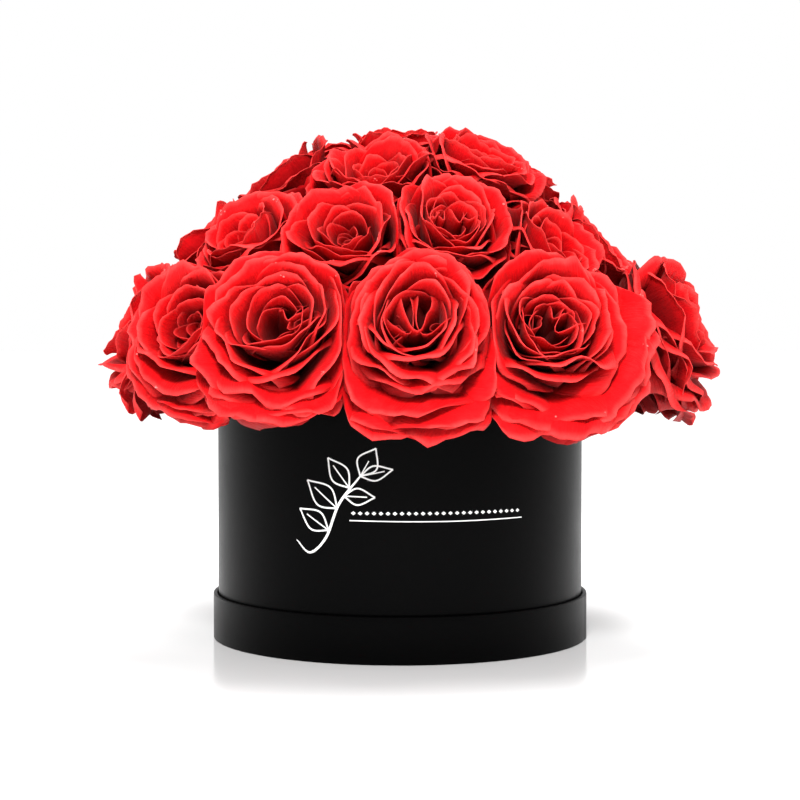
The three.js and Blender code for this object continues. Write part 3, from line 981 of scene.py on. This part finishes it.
# How the roses in front differ from the rest, in petal_sheets' own words. dim darkens a bloom that
# stands in the shade of its neighbours.
BLOOM_LOOKS = {
    "rose_collar_01": {
        "seed": 3,
        "petals": 27,
        "heart": 0.40,
        "step": 0.82,
        "skirt": 0.17,
        "guards": [-163, -140, -116, -90, -64, -40, -17],
        "flames": [
            (150, 0.44, 0.20, 0.02, -0.20),
            (120, 0.60, 0.32, -0.02, -0.30),
            (94, 0.66, 0.40, 0.04, -0.32),
            (66, 0.62, 0.34, 0.08, -0.30),
            (34, 0.48, 0.24, 0.10, -0.22),
            (200, 0.34, 0.20, -0.04, -0.10),
            (-12, 0.34, 0.22, 0.10, -0.12),
        ],
    },
    "rose_collar_02": {
        "seed": 8,
        "petals": 32,
        "heart": 0.20,
        "open": 1.06,
        "fold": 0.8,
        "hole": 0.10,
        "step": 0.84,
        "skirt": 0.32,
        "skirt_way": -68,
        "guards": [-160, -136, -110, -86, -66, -48, -30, -12, 8],
        "flames": [
            (60, 0.44, 0.30, 0.02, -0.08),
            (28, 0.50, 0.34, -0.02, -0.14),
            (170, 0.34, 0.24, 0.0, 0.05),
        ],
    },
    "rose_collar_11": {"seed": 14, "flat": 0.4, "fold": 0.4, "hole": 0.0},
    "rose_collar_12": {
        "seed": 21,
        "petals": 30,
        "heart": 0.22,
        "open": 1.08,
        "fold": 0.7,
        "skirt": 0.22,
        "skirt_way": -62,
        "flames": [
            (75, 0.40, 0.34, 0.10, -0.15),
            (40, 0.42, 0.30, 0.12, -0.15),
            (-5, 0.34, 0.24, 0.10, -0.10),
        ],
    },
    "rose_shoulder_01": {
        "seed": 31,
        "petals": 30,
        "heart": 0.24,
        "fold": 0.8,
        "flames": [
            (140, 0.36, 0.34, -0.12, -0.06),
            (100, 0.30, 0.30, -0.14, -0.06),
            (50, 0.36, 0.34, 0.16, -0.08),
            (85, 0.34, 0.30, 0.14, -0.06),
        ],
    },
    "rose_shoulder_11": {"seed": 40, "fold": 0.3, "hole": 0.0},
    "rose_collar_03": {
        "seed": 77,
        "petals": 24,
        "guards": RIGHT_SIDE_GUARDS,
        "open": 0.94,
        "skirt": 0.22,
        "skirt_way": -110,
        "flat": 0.45,
        "dim": 0.12,
    },
    "rose_collar_10": {
        "seed": 55,
        "petals": 26,
        "guards": LEFT_SIDE_GUARDS,
        "open": 0.94,
        "skirt": -0.12,
        "skirt_way": -80,
        "flat": 0.7,
    },
    "rose_shoulder_02": {
        "seed": 57,
        "skirt": 0.50,
        "flat": 0.2,
        "guards": LOWER_GUARDS + SIDE_GUARDS,
    },
    "rose_shoulder_03": {"seed": 58, "petals": 28, "flat": 0.8},
    "rose_shoulder_09": {"seed": 59, "petals": 28, "flat": 0.8},
    "rose_crown_05": {
        "seed": 64,
        "petals": 15,
        "heart": 0.35,
        "open": 1.15,
        "flat": 0.9,
        "dim": 0.25,
    },
}

blooms = []
for index, rose in enumerate(roses):
    looks = BLOOM_LOOKS.get(rose.name, {})
    rng = np.random.default_rng(looks.get("seed", 100 + index))
    own_open, own_flat = rng.uniform(0.95, 1.1), rng.uniform(0.05, 0.45)
    own_fold, own_hole = rng.uniform(0.2, 1.0), rng.uniform(0, 0.08)
    guards = looks.get("guards", LOWER_GUARDS if rose.ring == "collar" else SIDE_GUARDS)
    sheets, stage, along, across = petal_sheets(
        rose.radius * CUP_FILL,
        rng,
        looks.get("petals", 32),
        looks.get("heart", 0.0),
        looks.get("step", 1.0),
        looks.get("open", own_open),
        looks.get("flat", own_flat),
        looks.get("skirt", 0.04 if rose.ring == "collar" else 0.0),
        looks.get("skirt_way", -90),
        looks.get("fold", own_fold),
        looks.get("hole", own_hole),
        np.array(guards) + rng.uniform(-9, 9, len(guards)),
        looks.get("flames", []),
    )
    sheets = heart_shift(sheets, rose.radius, rng)
    placed = clear_of_box(pressed(rose.out(sheets), rose))
    own_shade = sunk(rose.home(placed), OWN_CELL, OWN_DEPTH)
    blooms.append((rose, placed, stage, own_shade, rng.random(len(stage))))

dome_heart = np.array([0, 0, box_high.z - 0.02])
everything = np.concatenate([placed.reshape(-1, 3) for _, placed, _, _, _ in blooms])
shade_left = buried(everything, dome_heart, DOME_CELL, DOME_DEPTH)

for rose, placed, stage, own_shade, kinds in blooms:
    dome_shade, shade_left = np.split(shade_left, [placed[..., 0].size])
    thin = PETAL_THICKNESS - RIM_THINNER * np.clip((along - 0.85) / 0.15, 0, 1)[None, :, None]
    thin = thin - SIDE_THINNER * np.clip((np.abs(across) - 0.8) / 0.2, 0, 1)[None, None, :]
    petals = thickened(placed, np.broadcast_to(thin, placed.shape[:3]))
    bloom_name = rose.name + "_bloom"
    bloom = add_piece(bloom_name, *petals, red_petal, "arrangement", "rose", [rose.name])
    shape = (len(stage), 2, len(along), len(across))
    place = np.zeros((*shape, 3))
    place[..., 0] = across[None, None, None, :]
    place[..., 1] = along[None, None, :, None]
    place[..., 2] = np.array([1.0, 0.0])[None, :, None, None]
    kind = np.zeros((*shape, 3))
    kind[..., 0] = stage[:, None, None, None]
    kind[..., 1] = kinds[:, None, None, None]
    # Painted shade: the deeper a point lies in its bloom and in the dome, the more shade it stores
    # for the petal colour, and dim adds shade to a whole bloom.
    lit = (1 - own_shade * OWN_SHADE) * (1 - dome_shade.reshape(own_shade.shape) * DOME_SHADE)
    lit = lit * (1 - BLOOM_LOOKS.get(rose.name, {}).get("dim", 0))
    kind[..., 2] = np.clip(1.02 - 1.14 * lit, 0, 0.92)[:, None]
    for name, values in (("petal_place", place), ("petal_kind", kind)):
        layer = bloom.data.attributes.new(name, "FLOAT_VECTOR", "POINT")
        layer.data.foreach_set("vector", values.ravel())

# ------------------------------------------------------------------ dew
# The roses were misted, and a few small clear drops stay on their petals. Each drop is drawn
# opaque, with the red of the petal under it painted into its colour as it would show through, and
# shows as a bright point.


def dew_finish():
    finish = Finish("dew", Specular_IOR_Level=0.6, Coat_Roughness=0.03)
    tint = finish.noise(900, finish.place(), detail=1)
    # Painted: the red that a clear drop lets through from its petal.
    colour = finish.mix(tint, (0.75, 0.05, 0.05), (0.95, 0.16, 0.15))
    gloss = 0.04 + tint * 0.04
    return finish.wear(Base_Color=colour, Coat_Weight=0.8 + tint * 0.2, Roughness=gloss)


def drop(centre, way, size):
    """A low bead on a surface that faces way."""
    side = np.cross(way, (0.3, 0.5, 0.8))
    side /= np.linalg.norm(side)
    lifts = (-0.3, 0.1, 0.42, 0.62)
    outline = [(size * math.sqrt(1 - (lift / 0.75) ** 2), size * lift) for lift in lifts]
    points, faces = spin(outline, 10, middles=(-0.5 * size, 0.72 * size))
    return centre + points @ np.stack([side, np.cross(way, side), way]), faces


dew_points, dew_faces = [], []
rng = np.random.default_rng(900)
for _, placed, stage, own_shade, _ in blooms:
    open_to_air = np.argwhere((own_shade < 0.12) & (stage > 0.45)[:, None, None])
    for petal, row, column in open_to_air[rng.choice(len(open_to_air), 5, replace=False)]:
        row, column = min(max(row, 2), len(along) - 3), min(max(column, 2), len(across) - 3)
        spot = placed[petal, row, column]
        along_petal = placed[petal, row + 1, column] - placed[petal, row - 1, column]
        way = np.cross(placed[petal, row, column + 1] - placed[petal, row, column - 1], along_petal)
        way = way / np.linalg.norm(way)
        way = way * np.sign(way @ (spot - dome_heart))
        for _ in range(rng.integers(1, 4)):
            near = spot + rng.uniform(-0.0012, 0.0012, 3)
            near = near - way * ((near - spot) @ way)
            merge(dew_points, dew_faces, *drop(near, way, rng.uniform(0.0003, 0.0007)))
add_piece("dew_drops", dew_points, dew_faces, dew_finish(), "arrangement", "rose", [])

# ------------------------------------------------------------------ stems, hips and sepals
# Under each bloom a green hip swells from the stem and carries five narrow sepals that have bent
# back. The stem is cut short and square, and is pushed into the foam.


def green_finish():
    finish = Finish("rose green", Specular_IOR_Level=0.4)
    place = finish.place()
    streak = finish.noise(300, place, detail=4)
    fine = finish.noise(1800, place, detail=2)
    colour = finish.mix(streak, (0.05, 0.13, 0.03), (0.14, 0.24, 0.07))
    colour = finish.mix(streak.within(0.62, 0.8) * 0.5, colour, (0.22, 0.06, 0.03))
    normal = finish.bump(fine, 0.0001)
    return finish.wear(Base_Color=colour, Roughness=0.45 + fine * 0.15, Normal=normal)


rose_green = green_finish()
FIFTH_OF_TURN = 1.2566


def stem_part(rose, rng):
    """A stem from its cut end up, and the hip it swells to, a little knobbly."""
    hip_top = HIP_TOP * rose.radius
    foot = -STEM_REACH[rose.ring]
    stem_heights = np.linspace(foot, hip_top - 0.016, 14)
    heights = np.concatenate([stem_heights, np.linspace(hip_top - 0.014, hip_top, 8)])
    swell_at = [foot, hip_top - 0.016, hip_top - 0.010, hip_top - 0.004, hip_top]
    swell = np.interp(heights, swell_at, [0.0024, 0.0026, 0.0046, 0.0050, 0.0042])
    phase = rng.uniform(0, 6)

    def knobbly(turn, radius, height):
        return radius * (1 + 0.04 * np.sin(height * 400 + phase) * np.sin(3 * turn)), height

    return spin(np.stack([swell, heights], 1), 16, knobbly, (foot, hip_top))


def sepal_part(rose, way, rng):
    """A narrow pointed leaf that bends back from the top of the hip."""
    rows, columns = 12, 7
    length = rng.uniform(0.022, 0.030)
    along = np.linspace(0, 1, rows)
    lean = np.radians(np.interp(along, [0, 0.3, 1], [70, 95, rng.uniform(125, 165)]))
    stride = np.full(rows, length / (rows - 1))
    stride[0] = 0
    out = 0.0040 + np.cumsum(np.sin(lean) * stride)
    up = SEPAL_FOOT * rose.radius + np.cumsum(np.cos(lean) * stride)
    width = 0.0034 * np.interp(along, [0, 0.2, 0.5, 0.8, 1], [0.8, 1, 0.7, 0.3, 0.05])
    across = np.linspace(-1, 1, columns)
    sheet = np.zeros((1, rows, columns, 3))
    side = width[:, None] * across[None, :]
    cup = 0.25 * width[:, None] * across[None, :] ** 2
    radial = out[:, None] + cup * np.cos(lean)[:, None]
    sheet[0, ..., 0] = radial * math.cos(way) - side * math.sin(way)
    sheet[0, ..., 1] = radial * math.sin(way) + side * math.cos(way)
    sheet[0, ..., 2] = up[:, None] - cup * np.sin(lean)[:, None]
    return thickened(sheet, np.full((1, rows, columns), 0.0005))


for index, rose in enumerate(roses):
    rng = np.random.default_rng(700 + index)
    points, faces = stem_part(rose, rng)
    points = list(rose.out(points))
    for k in range(5):
        way = k * FIFTH_OF_TURN + rng.uniform(-0.2, 0.2)
        own_points, own_faces = sepal_part(rose, way, rng)
        merge(points, faces, clear_of_box(rose.out(own_points)), own_faces)
    add_piece(rose.name + "_stem", points, faces, rose_green, "arrangement", "rose", [rose.name])

# ------------------------------------------------------------------ floor and light
# A glossy white studio floor that glows of itself away from the box, so that it meets the white
# surround unseen. Beside and behind the box it also glows, a painted light that washes out the
# box's shadow on the floor. One soft light stands in front and one above. The surround is dim in
# front and bright behind, which puts a glow on the edges of the black box.
floor_finish = Finish("studio floor", Specular_IOR_Level=0.5, Emission_Strength=0.5)
floor_place = floor_finish.place()
tone = floor_finish.noise(3, floor_place)
from_box = floor_finish.node("ShaderNodeVectorMath", {"operation": "LENGTH"}, {0: floor_place}, 1)
depth = floor_finish.part(floor_place, 1)
# Painted light: beside and behind the box the floor glows, which washes out the box's shadow.
behind = depth.within(-0.09, -0.01) * from_box.within(0.10, 0.17)
glow = floor_finish.mix(from_box.within(0.20, 0.45) + behind * 0.45, (0, 0, 0), (1, 1, 1))
floor_white = floor_finish.mix(tone, (0.86, 0.86, 0.86), (0.88, 0.88, 0.88))
floor_gloss = 0.10 + from_box.within(0.10, 0.34) * 0.5
floor_finish.wear(Base_Color=floor_white, Roughness=floor_gloss, Emission_Color=glow)
floor_mesh = bpy.data.meshes.new("floor")
floor_mesh.from_pydata([(-40, -40, 0), (40, -40, 0), (40, 40, 0), (-40, 40, 0)], [], [(0, 1, 2, 3)])
floor_mesh.materials.append(floor_finish.material)
floor = bpy.data.objects.new("floor", floor_mesh)
bpy.context.scene.collection.objects.link(floor)
floor.location.z = -0.0002

world = bpy.data.worlds.new("white surround")
world.use_nodes = True
surround = world.node_tree
lit_sky = surround.nodes["Background"]
seen_sky = surround.nodes.new("ShaderNodeBackground")
either = surround.nodes.new("ShaderNodeMixShader")
rays = surround.nodes.new("ShaderNodeLightPath")
way = surround.nodes.new("ShaderNodeTexCoord")
parts = surround.nodes.new("ShaderNodeSeparateXYZ")
fade = surround.nodes.new("ShaderNodeMapRange")
fade.interpolation_type = "SMOOTHSTEP"
for pin, value in {"From Min": -0.90, "From Max": 0.2, "To Min": 0.05, "To Max": 0.85}.items():
    fade.inputs[pin].default_value = value
surround.links.new(way.outputs["Generated"], parts.inputs[0])
surround.links.new(parts.outputs["Y"], fade.inputs["Value"])
surround.links.new(fade.outputs[0], lit_sky.inputs["Strength"])
surround.links.new(rays.outputs["Is Camera Ray"], either.inputs[0])
surround.links.new(lit_sky.outputs[0], either.inputs[1])
surround.links.new(seen_sky.outputs[0], either.inputs[2])
surround.links.new(either.outputs[0], surround.nodes["World Output"].inputs[0])
lit_sky.inputs["Color"].default_value = (1, 1, 1, 1)
seen_sky.inputs["Color"].default_value = (1, 1, 1, 1)
bpy.context.scene.world = world


def soft_light(name, place, aim, size, power):
    """A round light that doesn't show in glossy surfaces."""
    data = bpy.data.lights.new(name, "AREA")
    data.shape = "DISK"
    data.size = size
    data.energy = power
    light = bpy.data.objects.new(name, data)
    light.location = place
    light.rotation_euler = (Vector(aim) - Vector(place)).to_track_quat("-Z", "Y").to_euler()
    light.visible_glossy = False
    bpy.context.scene.collection.objects.link(light)


soft_light("front", (-0.08, -1.5, 1.15), (0, 0, 0.18), 0.45, 46)
soft_light("top", (0.2, 0.1, 1.7), (0, 0, 0.2), 0.8, 20)
